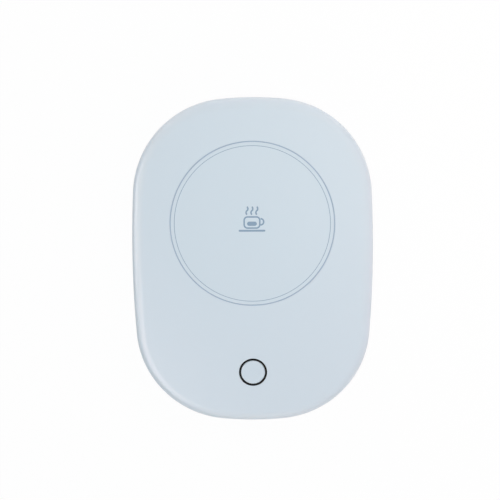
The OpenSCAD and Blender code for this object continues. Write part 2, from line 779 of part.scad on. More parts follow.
module board_screws() {
    color(metal_colour) {
        at(BOARD_HOLES) screw(small_screw_r, small_head_r, small_head_h, small_screw_l, board_z);
        at(INLET_HOLES) screw(small_screw_r, small_head_r, small_head_h, small_screw_l, inlet_board_z);
    }
}

module case_screws() {
    color(metal_colour) at(CASE)
        screw(case_screw_r, case_head_r, case_head_h, case_screw_l, case_seat_z);
}

module rubber_feet() {
    color([0.25, 0.26, 0.28]) at(CASE) rotate_extrude() polygon([
        [0, 0], [foot_r - foot_edge, 0], [foot_r, foot_edge], [foot_r, floor_z + foot_recess],
        [0, floor_z + foot_recess]]);
}

top_cover();
bottom_cover();
heating_plate();
plate_gasket();
heat_spreader();
heater_film();
insulation_pad();
plate_retainer();
retainer_screws();
thermistor();
thermal_fuse();
control_board();
controller_chip();
power_transistor();
capacitors();
resistors();
status_leds();
switch_body();
switch_plunger();
button_cap();
button_ring();
lead_connectors();
inlet_board();
inlet_shell();
inlet_tongue();
heater_leads();
sensor_leads();
power_leads();
board_screws();
case_screws();
rubber_feet();
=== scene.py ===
"""Desktop mug warmer: finished pieces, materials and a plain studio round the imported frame."""
from collections import namedtuple
from math import atan2, cos, pi, radians, sin, tan

import bmesh
import bpy
from bpy.props import FloatProperty, FloatVectorProperty, IntProperty, PointerProperty
from bpy.types import Operator, Panel, PropertyGroup
from mathutils import Color, Euler, Matrix, Vector
from mathutils.geometry import intersect_sphere_sphere_2d


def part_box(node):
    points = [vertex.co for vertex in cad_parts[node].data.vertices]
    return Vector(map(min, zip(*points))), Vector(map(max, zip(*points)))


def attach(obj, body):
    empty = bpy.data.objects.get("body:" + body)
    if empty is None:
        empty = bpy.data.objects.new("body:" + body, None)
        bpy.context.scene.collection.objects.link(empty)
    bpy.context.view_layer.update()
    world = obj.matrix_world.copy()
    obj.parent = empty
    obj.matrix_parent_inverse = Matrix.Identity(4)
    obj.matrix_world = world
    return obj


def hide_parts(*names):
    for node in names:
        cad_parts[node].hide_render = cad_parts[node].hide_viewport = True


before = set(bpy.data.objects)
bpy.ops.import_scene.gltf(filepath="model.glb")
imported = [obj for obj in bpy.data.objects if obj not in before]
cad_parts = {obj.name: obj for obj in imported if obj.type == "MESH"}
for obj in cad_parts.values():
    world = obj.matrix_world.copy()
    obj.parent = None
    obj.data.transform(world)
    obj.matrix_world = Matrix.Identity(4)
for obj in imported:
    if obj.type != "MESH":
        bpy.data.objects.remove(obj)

bl_info = {
    "name": "Mug Warmer",
    "version": (1, 0, 0),
    "blender": (4, 5, 0),
    "location": "View3D > Sidebar > Mug Warmer",
    "description": "Builds a desktop mug warmer, its finishes and a plain studio round its packed frame",
    "category": "Add Mesh",
}

MM = 0.001
TOUCH = 1e-6                    # points closer than this are one point
SHARP = radians(28)             # an edge that turns more than this stays crisp
SUPPORT = 0.4 * MM              # flat rim kept beside a rounded edge, so that the flat shades flat
FINE = 0.4 * MM                 # longest side of a rounded edge's facets
ROOT = 0.5 * MM                 # how far a boss or a rib runs into the wall that carries it
CRISP, EASED, BLUNT, SOFT = 0.1 * MM, 0.15 * MM, 0.2 * MM, 0.3 * MM     # radii of small edges
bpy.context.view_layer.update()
COVER_LOW, COVER_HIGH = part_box("top_cover")
BASE_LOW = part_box("bottom_cover")[0]
PLATE_LOW, PLATE_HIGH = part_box("heating_plate")
GASKET_LOW, GASKET_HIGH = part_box("plate_gasket")
CAP_LOW, CAP_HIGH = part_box("button_cap")
RING_LOW, RING_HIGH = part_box("button_ring")
INLET_LOW, INLET_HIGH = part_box("inlet_shell")
TONGUE_LOW, TONGUE_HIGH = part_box("inlet_tongue")

# Facets in a full turn, and below them those in a slot's round ends and the fewest in a rounded edge
SCREW_TURN, BOSS_TURN, FOOT_TURN, BUTTON_TURN = 24, 36, 64, 96
COLLAR_TURN, PLATE_TURN, PRINT_TURN = 128, 160, 192
SLOT_END, VENT_END = 12, 14
BEND = 5

FRAME_W = 36                    # width of the camera's frame in mm
NEAREST = 0.01                  # nearest that the camera sees, in metres
FLOOR_R = 3                     # radius of the floor in metres
SKY_TINT = (0.945, 0.972, 1, 1)     # colour of the light from all round

# Lamps: direction and height over the table in degrees, distance in mm, whether matt shading, gloss or all
# shows them, and what they add to an upright white in red, green and blue
LAMPS = (("right_lamp", 0, 30, 320, "matt", (0.111, 0.076, 0.076)),
         ("corner_lamp", 45, 50, 320, "matt", (0.181, 0.154, 0.113)),
         ("back_lamp", 90, 25, 750, "matt", (0.088, 0.078, 0.085)),
         ("top_lamp", 0, 89, 750, "matt", (0.054, 0.175, 0.234)),
         ("far_left_lamp", 135, 25, 750, "all", (0.095, 0.067, 0.050)),
         ("near_lamp", 270, 25, 750, "matt", (0.153, 0.116, 0.096)),
         ("low_near_sheen", 270, 25, 750, "gloss", (0.080, 0.061, 0.050)),
         ("left_sheen", 180, 25, 750, "gloss", (0.208, 0.178, 0.176)),
         ("high_left_sheen", 180, 50, 750, "gloss", (0.149, 0.120, 0.086)),
         ("corner_sheen", 225, 50, 750, "gloss", (0.430, 0.363, 0.369)),
         ("near_sheen", 270, 50, 750, "gloss", (0.048, 0.047, 0.047)))

# Bosses under the ceiling: the screws in them, what these hold, the boss's seat, its radius and the screw's
BOSSES = (("retainer_screws", "plate_retainer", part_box("insulation_pad")[0].z, 2.8 * MM, 1 * MM),
          ("board_screws", "control_board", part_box("control_board")[1].z, 2.6 * MM, 1 * MM),
          ("board_screws", "inlet_board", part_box("inlet_board")[1].z, 2.4 * MM, 1 * MM),
          ("case_screws", "bottom_cover", COVER_LOW.z, 3.4 * MM, 1.3 * MM))
Boss = namedtuple("Boss", "centre seat radius screw_r end")     # end is how far up the screw reaches
RIB_ANGLES = (0, 45, 65, 115, 135, 180, 225, 315)    # ribs out from the plate, in degrees

# Hooks on the floor over the leads: the leads, the top of their run over the floor and the hook's place along y
HOOKS = (("sensor_leads", 4.85 * MM, -6 * MM), ("heater_leads", 7.2 * MM, -14 * MM),
         ("power_leads", 5.1 * MM, 42 * MM))


def length(name, description, millimetres, lowest=0.0):
    """Property for a length."""
    return FloatProperty(name=name, description=description, default=millimetres * MM, min=lowest,
                         subtype="DISTANCE", unit="LENGTH", precision=5)


def share(name, description, default, highest=1.0):
    """Property for a plain number from 0 up."""
    return FloatProperty(name=name, description=description, default=default, min=0, max=highest)


def angle(name, description, degrees):
    """Property for an angle."""
    return FloatProperty(name=name, description=description, default=radians(degrees),
                         subtype="ANGLE", unit="ROTATION")


def tone(name, description, red, green, blue):
    """Property for a colour, given as it shows on a screen, from 0 to 255."""
    linear = Color((red / 255, green / 255, blue / 255)).from_srgb_to_scene_linear()
    return FloatVectorProperty(name=name, description=description, default=(*linear, 1), size=4,
                               min=0, max=1, subtype="COLOR")


class WarmerSizes(PropertyGroup):
    """Sizes of the finished pieces that the frame's boxes don't give."""
    side_r: length("Side radius", "Radius of the long sides, seen from above", 500)
    end_r: length("End radius", "Radius of the two ends, seen from above", 143)
    corner_r: length("Corner radius", "Radius of the four corners, seen from above", 44)
    wall: length("Wall", "Wall of both covers", 2)
    top_edge_r: length("Top edge", "Radius of the soft top edge", 3.6)
    crown_r: length("Crown", "Larger radius that eases the top edge into the flat", 8)
    crown_slope: angle("Crown slope", "Slope at which the top edge's two radii meet", 20)
    low_edge_r: length("Lower edge", "Radius of the tucked-in lower edge", 4.5)
    draft: length("Draft", "How much the side wall leans in towards the top", 0.2)
    parting_z: length("Parting", "Height of the joint between the covers above the table", 6.5)
    parting_gap: length("Parting gap", "Shadow gap between the covers", 0.3)
    lip_h: length("Lip height", "Height of the lip above the joint", 1.8)
    lip_t: length("Lip", "Wall of the lip that carries the upper cover", 1.2)
    lip_clear: length("Lip clearance", "Gap between the lip and the upper cover", 0.15)
    rib_t: length("Rib", "Thickness of the ribs in both covers", 1.2)
    rib_h: length("Rib height", "Height of the ribs under the ceiling", 4)
    flange_w: length("Plate flange", "Width of the flange under the plate's rim", 3.35)
    key_w: length("Plate key", "Width of the key that stops the plate from turning", 6)
    gasket_w: length("Gasket", "Width of the gasket that shows round the plate", 0.49)
    print_r: length("Printed ring", "Radius of the printed ring on the plate", 35.02)
    print_w: length("Printed line", "Width of the printed ring", 0.24)
    sign_w: length("Sign line", "Width of the lines of the printed sign", 0.7)
    ink_t: length("Ink", "Thickness of the printed ink", 0.015)
    ring_w: length("Button ring", "Width of the ring round the button", 0.9)
    ring_flange: length("Button ring flange", "Width of the flange under the button's ring", 1.3)
    cap_gap: length("Button gap", "Running gap round the button", 0.08)
    cap_t: length("Button wall", "Wall of the hollow button", 1.2)
    cap_edge_r: length("Cap edge", "Radius of the button's soft edge", 0.3)
    hole_edge_r: length("Opening edge", "Radius of the edges of the openings", 0.15)
    plate_edge_r: length("Plate edge", "Radius of the plate's edge", 0.12)
    inlet_h: length("Inlet height", "Height of the power inlet's mouth", 3.2)
    inlet_gap: length("Inlet gap", "Gap round the power inlet", 0.2)
    foot_r: length("Foot radius", "Radius of a rubber foot", 6)
    foot_recess: length("Foot recess", "Depth of the recess that holds a foot", 1)
    foot_edge: length("Foot edge", "Chamfer round a foot's underside", 0.5)
    vent_w: length("Vent width", "Width of a vent slot", 1.8)
    vent_l: length("Vent length", "Length of a vent slot", 18)
    vent_pitch: length("Vent pitch", "Distance between vent slots", 6)
    vents: IntProperty(name="Vents", description="Number of vent slots", default=7, min=1)


class WarmerFinish(PropertyGroup):
    """Colours and gloss of the pieces."""
    shell: tone("Shell", "Colour of the moulded covers", 202, 213, 222)
    plate: tone("Plate", "Colour of the coated plate", 201, 212.5, 221.5)
    cap: tone("Button", "Colour of the button", 199, 211, 220.5)
    line: tone("Gasket", "Colour of the gasket", 154, 173, 195)
    ink: tone("Ink", "Colour of the printed ring and sign", 126, 150, 173)
    ring: tone("Button ring", "Colour of the ring round the button", 8, 10, 13)
    foot: tone("Feet", "Colour of the rubber feet", 62, 64, 68)
    shell_gloss: share("Shell roughness", "Roughness of the moulded covers", 0.34)
    plate_gloss: share("Plate roughness", "Roughness of the coated plate", 0.34)


class WarmerStage(PropertyGroup):
    """Camera, lamps and floor."""
    camera_height: length("Camera distance", "Distance from the table to the camera, along its axis", 350)
    camera_right: length("Camera right", "How far the axis passes to the right of the middle", -1.29, -1)
    camera_up: length("Camera up", "How far the axis passes behind the middle", 3.71, -1)
    camera_tilt: angle("Camera tilt", "Tilt of the camera towards the back", -7.78)
    camera_yaw: angle("Camera yaw", "Turn of the camera to the left", 0.475)
    camera_roll: angle("Camera roll", "Roll of the camera", -0.25)
    lens: FloatProperty(name="Lens", description="Focal length in millimetres on a 36 mm frame",
                        default=52.65, min=1)
    floor: tone("Floor", "Colour of the floor", 232, 233, 235)
    floor_glow: share("Floor glow", "Share of the floor's look that is plain white", 0.965)
    sky: share("Sky", "Strength of the light from all round", 0.4, 10)
    lamps: share("Lamps", "Strength of all lamps together", 1, 10)
    lamp_size: share("Lamp size", "Width of each lamp in shares of its distance", 0.533, 10)


# Geometry shared by the pieces

class Arc(namedtuple("Arc", "centre radius start turn steps")):
    """Arc seen from above: about a centre, from an angle start on through an angle turn."""

    def point(self, at, inset=0.0, z=0.0):
        """Point of the arc at an angle, moved in towards its centre."""
        reach = self.radius - inset
        return Vector((self.centre[0] + reach * cos(at), self.centre[1] + reach * sin(at), z))


def full_circle(centre, radius=0.0, steps=BUTTON_TURN):
    """Path of a circle. With no radius, the section's insets give it."""
    return [Arc(centre, radius, 0, 2 * pi, steps)]


def stadium(centre, width, height):
    """Path of a slot with round ends, its length along x."""
    shift = (width - height) / 2
    return [Arc((centre[0] + shift, centre[1]), height / 2, -pi / 2, pi, SLOT_END),
            Arc((centre[0] - shift, centre[1]), height / 2, pi / 2, pi, SLOT_END)]


def outline(sizes):
    """Path of the housing's outline: eight arcs that meet tangent, anticlockwise from the right side."""
    side_x = COVER_HIGH.x - sizes.side_r
    end_y = COVER_HIGH.y - sizes.end_r
    meets = intersect_sphere_sphere_2d((side_x, 0), sizes.side_r - sizes.corner_r,
                                       (0, end_y), sizes.end_r - sizes.corner_r)
    corner = max(meets, key=lambda point: point.x + point.y)
    side_a = atan2(corner.y, corner.x - side_x)
    end_a = atan2(corner.y - end_y, corner.x)
    # radius, turn and facets of each kind of arc
    side = (sizes.side_r, 2 * side_a, 14)
    bend = (sizes.corner_r, end_a - side_a, 40)
    end = (sizes.end_r, pi - 2 * end_a, 16)
    arcs = []
    for turned in (0, pi):
        sign = cos(turned)
        arcs += [Arc((sign * side_x, 0), side[0], turned - side_a, *side[1:]),
                 Arc(sign * corner, bend[0], turned + side_a, *bend[1:]),
                 Arc((0, sign * end_y), end[0], turned + end_a, *end[1:]),
                 Arc((-sign * corner.x, sign * corner.y), bend[0], turned + pi - end_a, *bend[1:])]
    return arcs


def rounded(corners, ring=False):
    """Section through corners (across, z) or (across, z, radius), each radius turned to an arc."""
    points = []
    count = len(corners)
    for i, corner in enumerate(corners):
        here = Vector(corner[:2])
        if len(corner) < 3 or (not ring and i in (0, count - 1)):
            points.append(here)
            continue
        back = (Vector(corners[i - 1][:2]) - here).normalized()
        onward = (Vector(corners[(i + 1) % count][:2]) - here).normalized()
        half = back.angle(onward) / 2
        centre = here + (back + onward).normalized() * (corner[2] / sin(half))
        first = here + back * (corner[2] / tan(half)) - centre
        last = here + onward * (corner[2] / tan(half)) - centre
        start = atan2(first.y, first.x)
        turn = (atan2(last.y, last.x) - start + pi) % (2 * pi) - pi
        facets = max(BEND, int(corner[2] * abs(turn) / FINE))
        angles = (start + turn * k / facets for k in range(facets + 1))
        points += [centre + first.length * Vector((cos(at), sin(at))) for at in angles]
    return points


def merge(bm, part):
    """Moves the geometry of the second bmesh into the first."""
    mesh = bpy.data.meshes.new("part")
    part.to_mesh(mesh)
    part.free()
    bm.from_mesh(mesh)
    bpy.data.meshes.remove(mesh)


def moved_verts(result):
    """Vertices of what an extrusion made."""
    return [item for item in result["geom"] if isinstance(item, bmesh.types.BMVert)]


def sweep(bm, section, path, ring=False, closed=True):
    """Carries a section of (inset, z) along a path of arcs, with straight runs between arcs that don't meet."""
    for i, arc in enumerate(path):
        following = path[(i + 1) % len(path)]
        part = bmesh.new()              # a bmesh for each arc, because a full one slows the spin down
        verts = [part.verts.new(arc.point(arc.start, inset, z)) for inset, z in section]
        edges = [part.edges.new(pair) for pair in zip(verts, verts[1:] + verts[:1] if ring else verts[1:])]
        whole = abs(arc.turn) > 2 * pi - TOUCH
        last = bmesh.ops.spin(part, geom=verts + edges, cent=(*arc.centre[:2], 0), axis=(0, 0, 1),
                              angle=arc.turn, steps=arc.steps, use_merge=whole)["geom_last"]
        gap = following.point(following.start) - arc.point(arc.start + arc.turn)
        if gap.length > TOUCH and (closed or i < len(path) - 1):
            last_edges = [item for item in last if isinstance(item, bmesh.types.BMEdge)]
            run = bmesh.ops.extrude_edge_only(part, edges=last_edges)
            bmesh.ops.translate(part, vec=gap, verts=moved_verts(run))
        merge(bm, part)
    bmesh.ops.remove_doubles(bm, verts=bm.verts, dist=TOUCH)


def revolve(bm, section, centre, ring=True, steps=BUTTON_TURN):
    """Turns a section of (radius, z) about an upright axis."""
    sweep(bm, [(-radius, z) for radius, z in section], full_circle(centre, steps=steps), ring=ring)


def rod(bm, centre, radius, low, high, steps=BOSS_TURN):
    """Upright rod between two heights."""
    place = Matrix.Translation((centre[0], centre[1], (low + high) / 2))
    bmesh.ops.create_cone(bm, cap_ends=True, segments=steps, radius1=radius, radius2=radius,
                          depth=high - low, matrix=place)


def bar(bm, start, end, width, low, high):
    """Upright bar from one point to another."""
    start, end = Vector(start[:2]), Vector(end[:2])
    way = end - start
    place = Matrix.LocRotScale(Vector((*((start + end) / 2), (low + high) / 2)),
                               Euler((0, 0, atan2(way.y, way.x))), Vector((way.length, width, high - low)))
    bmesh.ops.create_cube(bm, size=1, matrix=place)


def fill_level(bm, z):
    """Fills the flat between the open edges at one height, leaving the holes inside it."""
    edges = [edge for edge in bm.edges
             if edge.is_boundary and all(abs(vert.co.z - z) < TOUCH for vert in edge.verts)]
    bmesh.ops.triangle_fill(bm, use_beauty=True, use_dissolve=False, edges=edges, normal=(0, 0, 1))


def close_ends(bm):
    """Fills every open end with a face."""
    bmesh.ops.holes_fill(bm, edges=[edge for edge in bm.edges if edge.is_boundary])


def solids(name):
    """Lowest and highest corner of each separate solid of a CAD node."""
    bm = bmesh.new()
    bm.from_mesh(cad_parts[name].data)
    bmesh.ops.remove_doubles(bm, verts=bm.verts, dist=TOUCH)
    seen = set()
    boxes = []
    for first in bm.verts:
        if first in seen:
            continue
        seen.add(first)
        reached = [first]
        for vert in reached:
            fresh = {edge.other_vert(vert) for edge in vert.link_edges} - seen
            seen |= fresh
            reached += fresh
        boxes.append([Vector(extreme(vert.co[axis] for vert in reached) for axis in range(3))
                      for extreme in (min, max)])
    bm.free()
    return boxes


def middle(low, high):
    """Point half way between two corners."""
    return (low + high) / 2


def temporary(bm):
    """Puts a closed bmesh into an object for a Boolean."""
    bmesh.ops.remove_doubles(bm, verts=bm.verts, dist=TOUCH)
    bmesh.ops.recalc_face_normals(bm, faces=bm.faces)
    mesh = bpy.data.meshes.new("solid")
    bm.to_mesh(mesh)
    bm.free()
    holder = bpy.data.objects.new("solid", mesh)
    bpy.context.scene.collection.objects.link(holder)
    return holder


def boolean(bm, other, operation):
    """Joins two closed bmeshes, cuts the second from the first or keeps what they share."""
    holder, tool = temporary(bm), temporary(other)
    modifier = holder.modifiers.new("Boolean", "BOOLEAN")
    modifier.operation = operation
    modifier.solver = "MANIFOLD"
    modifier.object = tool
    bpy.context.view_layer.update()
    made = holder.evaluated_get(bpy.context.evaluated_depsgraph_get())
    result = bmesh.new()
    result.from_mesh(made.data)
    for used in (holder, tool):
        mesh = used.data
        bpy.data.objects.remove(used)
        bpy.data.meshes.remove(mesh)
    if not result.faces or any(not edge.is_manifold for edge in result.edges):
        raise RuntimeError(f"The {operation.lower()} left an open mesh")
    return result


def shade(bm):
    """Smooth faces with crisp edges where the surface turns sharply."""
    for face in bm.faces:
        face.smooth = True
    for edge in bm.edges:
        edge.smooth = edge.is_manifold and edge.calc_face_angle(0) < SHARP


def link(name, bm, material):
    """Closes a bmesh off as an object with a material."""
    mesh = bpy.data.meshes.new(name)
    bm.to_mesh(mesh)
    bm.free()
    mesh.materials.append(material)
    piece = bpy.data.objects.new(name, mesh)
    bpy.context.scene.collection.objects.link(piece)
    return piece


def add_piece(name, bm, material, body="housing", stands_for=()):
    """Finishes a bmesh as a piece of the object, riding on a body and standing for CAD nodes."""
    bmesh.ops.remove_doubles(bm, verts=bm.verts, dist=TOUCH)
    bmesh.ops.dissolve_degenerate(bm, edges=bm.edges, dist=TOUCH)
    bmesh.ops.recalc_face_normals(bm, faces=bm.faces)
    shade(bm)
    piece = link(name, bm, material)
    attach(piece, body)
    if stands_for:
        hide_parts(*stands_for)
    return piece


# Node groups and materials

def node_group(name, inputs, outputs):
    """Empty shader group with named inputs (type, default) and outputs (type)."""
    group = bpy.data.node_groups.new(name, "ShaderNodeTree")
    for label, (kind, default) in inputs.items():
        socket = group.interface.new_socket(label, in_out="INPUT", socket_type=kind)
        if default is not None:
            socket.default_value = default
    for label, kind in outputs.items():
        group.interface.new_socket(label, in_out="OUTPUT", socket_type=kind)
    return group, group.nodes.new("NodeGroupInput"), group.nodes.new("NodeGroupOutput")


def add_node(tree, kind, inputs=(), **settings):
    """Adds a node, sets its options, and sets or links its inputs by name or number."""
    node = tree.nodes.new(kind)
    for label, value in settings.items():
        setattr(node, label, value)
    for key, value in dict(inputs).items():
        if isinstance(value, bpy.types.NodeSocket):
            tree.links.new(value, node.inputs[key])
        else:
            node.inputs[key].default_value = value
    return node


def grain_group():
    """Height of a spark-eroded mould grain, its size in mm: fine pits over soft, wider unevenness."""
    group, given, result = node_group(
        "Moulded grain",
        {"Coordinates": ("NodeSocketVector", None), "Grain size": ("NodeSocketFloat", 0.3),
         "Unevenness": ("NodeSocketFloat", 0.3)},
        {"Height": "NodeSocketFloat"})
    scale = add_node(group, "ShaderNodeMath", {0: 1000.0, 1: given.outputs["Grain size"]}, operation="DIVIDE")
    pits = add_node(group, "ShaderNodeTexNoise",
                    {"Vector": given.outputs["Coordinates"], "Scale": scale.outputs[0], "Detail": 3.0,
                     "Roughness": 0.6})
    wide = add_node(group, "ShaderNodeTexNoise",
                    {"Vector": given.outputs["Coordinates"], "Scale": 60.0, "Detail": 1.0})
    mixed = add_node(group, "ShaderNodeMix", {"Factor": given.outputs["Unevenness"],
                                              "A": pits.outputs["Fac"], "B": wide.outputs["Fac"]})
    group.links.new(mixed.outputs["Result"], result.inputs["Height"])
    return group


def drift_group():
    """Colour and roughness that wander a little over the surface, as on any moulded or coated part."""
    group, given, result = node_group(
        "Surface drift",
        {"Coordinates": ("NodeSocketVector", None), "Colour": ("NodeSocketColor", (1, 1, 1, 1)),
         "Tint": ("NodeSocketColor", (1, 1, 1, 1)), "Colour drift": ("NodeSocketFloat", 0.3),
         "Roughness": ("NodeSocketFloat", 0.4), "Roughness drift": ("NodeSocketFloat", 0.05),
         "Scale": ("NodeSocketFloat", 25.0)},
        {"Colour": "NodeSocketColor", "Roughness": "NodeSocketFloat"})
    cloud = add_node(group, "ShaderNodeTexNoise",
                     {"Vector": given.outputs["Coordinates"], "Scale": given.outputs["Scale"], "Detail": 3.0,
                      "Roughness": 0.55})
    amount = add_node(group, "ShaderNodeMath", {0: cloud.outputs["Fac"], 1: given.outputs["Colour drift"]},
                      operation="MULTIPLY")
    colour = add_node(group, "ShaderNodeMix",
                      {"Factor": amount.outputs[0], "A": given.outputs["Colour"], "B": given.outputs["Tint"]},
                      data_type="RGBA")
    swing = add_node(group, "ShaderNodeMath", {0: cloud.outputs["Fac"], 1: 0.5}, operation="SUBTRACT")
    rough = add_node(group, "ShaderNodeMath",
                     {0: swing.outputs[0], 1: given.outputs["Roughness drift"], 2: given.outputs["Roughness"]},
                     operation="MULTIPLY_ADD")
    group.links.new(colour.outputs["Result"], result.inputs["Colour"])
    group.links.new(rough.outputs[0], result.inputs["Roughness"])
    return group


def finish(name, colour, roughness, drift=0.3, rough_drift=0.08, scale=25.0, grain=0.3, bump=0.02,
           unevenness=0.3, **shader_values):
    """Material with the drift and grain groups, and the rest of its values on its own shader.

    Its colour drifts by the share drift towards a darker one, in patches that scale makes smaller.
    The grain's size and the bump's height are in mm.
    """
    material = bpy.data.materials.new(name)
    material.use_nodes = True
    tree = material.node_tree
    shader = tree.nodes["Principled BSDF"]
    where = tree.nodes.new("ShaderNodeTexCoord").outputs["Object"]
    plain = tuple(colour)
    darker = tuple(0.94 * part for part in plain[:3]) + (1,)
    surface = add_node(tree, "ShaderNodeGroup", node_tree=bpy.data.node_groups["Surface drift"])
    for label, value in {"Colour": plain, "Tint": darker, "Colour drift": drift, "Roughness": roughness,
                         "Roughness drift": rough_drift, "Scale": scale}.items():
        surface.inputs[label].default_value = value
    tree.links.new(where, surface.inputs["Coordinates"])
    tree.links.new(surface.outputs["Colour"], shader.inputs["Base Color"])
    tree.links.new(surface.outputs["Roughness"], shader.inputs["Roughness"])
    pitted = add_node(tree, "ShaderNodeGroup", node_tree=bpy.data.node_groups["Moulded grain"])
    pitted.inputs["Grain size"].default_value = grain
    pitted.inputs["Unevenness"].default_value = unevenness
    tree.links.new(where, pitted.inputs["Coordinates"])
    relief = add_node(tree, "ShaderNodeBump",
                      {"Height": pitted.outputs["Height"], "Strength": 1.0, "Distance": bump * MM})
    tree.links.new(relief.outputs["Normal"], shader.inputs["Normal"])
    for label, value in shader_values.items():
        shader.inputs[label.replace("_", " ")].default_value = value
    return material


def paint_node(name, material):
    """Gives a CAD node that stays in view its material."""
    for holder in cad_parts[name].material_slots:
        holder.material = material


# Stage

class WARMER_OT_stage(Operator):
    """Add the camera, the floor and the studio light"""
    bl_idname = "warmer.stage"
    bl_label = "Stage"

    def execute(self, context):
        stage = context.scene.warmer_stage
        self.add_camera(context, stage)
        self.add_floor(stage)
        self.light_world(context, stage)
        for lamp in LAMPS:
            self.add_lamp(stage, *lamp)
        context.scene.view_settings.view_transform = "Standard"
        return {"FINISHED"}

    def add_camera(self, context, stage):
        """Camera over the table, turned about the table's middle."""
        turn = (Matrix.Rotation(stage.camera_roll, 4, "Z") @ Matrix.Rotation(stage.camera_tilt, 4, "X")
                @ Matrix.Rotation(stage.camera_yaw, 4, "Y"))
        data = bpy.data.cameras.new("camera")
        data.sensor_width = FRAME_W
        data.lens = stage.lens
        data.clip_start = NEAREST
        camera = bpy.data.objects.new("camera", data)
        camera.matrix_world = turn @ Matrix.Translation(
            (stage.camera_right, stage.camera_up, stage.camera_height))
        context.scene.collection.objects.link(camera)
        context.scene.camera = camera

    def white_mix(self, tree, plain, white, share_of_white):
        """Mixes white over a plain shader where the camera, a gloss or a glass looks at it."""
        path = tree.nodes.new("ShaderNodeLightPath")
        seen = path.outputs["Is Camera Ray"]
        for ray in ("Is Glossy Ray", "Is Transmission Ray"):
            either = add_node(tree, "ShaderNodeMath", {0: seen, 1: path.outputs[ray]}, operation="MAXIMUM")
            seen = either.outputs[0]
        amount = add_node(tree, "ShaderNodeMath", {0: seen, 1: share_of_white}, operation="MULTIPLY")
        return add_node(tree, "ShaderNodeMixShader", {0: amount.outputs[0], 1: plain, 2: white}).outputs[0]

    def add_floor(self, stage):
        """Round floor, white to the eye, that takes the object's shadow."""
        material = bpy.data.materials.new("plain floor")
        material.use_nodes = True
        tree = material.node_tree
        tree.nodes.remove(tree.nodes["Principled BSDF"])
        matt = add_node(tree, "ShaderNodeBsdfDiffuse", {"Color": tuple(stage.floor)})
        white = add_node(tree, "ShaderNodeEmission", {"Color": (1, 1, 1, 1), "Strength": 1.0})
        mixed = self.white_mix(tree, matt.outputs[0], white.outputs[0], stage.floor_glow)
        tree.links.new(mixed, tree.nodes["Material Output"].inputs["Surface"])
        bm = bmesh.new()
        bmesh.ops.create_circle(bm, cap_ends=True, radius=FLOOR_R, segments=BUTTON_TURN)
        floor = link("floor", bm, material)

    def light_world(self, context, stage):
        """Soft light from all round, and white where it is seen itself."""
        world = bpy.data.worlds.new("studio")
        world.use_nodes = True
        tree = world.node_tree
        soft = tree.nodes["Background"]
        soft.inputs["Color"].default_value = SKY_TINT
        soft.inputs["Strength"].default_value = stage.sky
        white = add_node(tree, "ShaderNodeBackground", {"Color": (1, 1, 1, 1), "Strength": 1.0})
        mixed = self.white_mix(tree, soft.outputs[0], white.outputs[0], 1.0)
        tree.links.new(mixed, tree.nodes["World Output"].inputs["Surface"])
        context.scene.world = world

    def add_lamp(self, stage, name, azimuth, height, reach, shown_by, light):
        """Soft square lamp aimed at the middle of the table, shown by matt shading, by gloss or by all."""
        data = bpy.data.lights.new(name, "AREA")
        data.shape = "SQUARE"
        data.size = reach * MM * stage.lamp_size
        data.color = light
        azimuth, height = radians(azimuth), radians(height)
        data.energy = stage.lamps * (pi * reach * MM) ** 2 / sin(height)
        place = Vector((cos(height) * cos(azimuth), cos(height) * sin(azimuth), sin(height))) * reach * MM
        lamp = bpy.data.objects.new(name, data)
        lamp.matrix_world = Matrix.Translation(place) @ place.to_track_quat("Z", "X").to_matrix().to_4x4()
        lamp.visible_camera = False
        lamp.visible_diffuse = shown_by != "gloss"
        lamp.visible_glossy = shown_by != "matt"
        bpy.context.scene.collection.objects.link(lamp)


class WARMER_OT_finishes(Operator):
    """Make the node groups that the materials share"""
    bl_idname = "warmer.finishes"
    bl_label = "Shared finishes"

    def execute(self, context):
        grain_group()
        drift_group()
        return {"FINISHED"}


# Pieces

def plate_centre():
    """Middle of the plate and its gasket."""
    return middle(GASKET_LOW, GASKET_HIGH)


def plate_flange_r():
    """Radius of the flange under the plate's rim."""
    return (GASKET_HIGH.x - GASKET_LOW.x) / 2


def button_centre():
    """Middle of the button."""
    return middle(CAP_LOW, CAP_HIGH)


def ring_flange_r():
    """Radius of the flange under the button's ring."""
    return (RING_HIGH.x - RING_LOW.x) / 2


def button_hole_r(sizes):
    """Radius of the button's opening in its ring."""
    return ring_flange_r() - sizes.ring_flange - sizes.ring_w


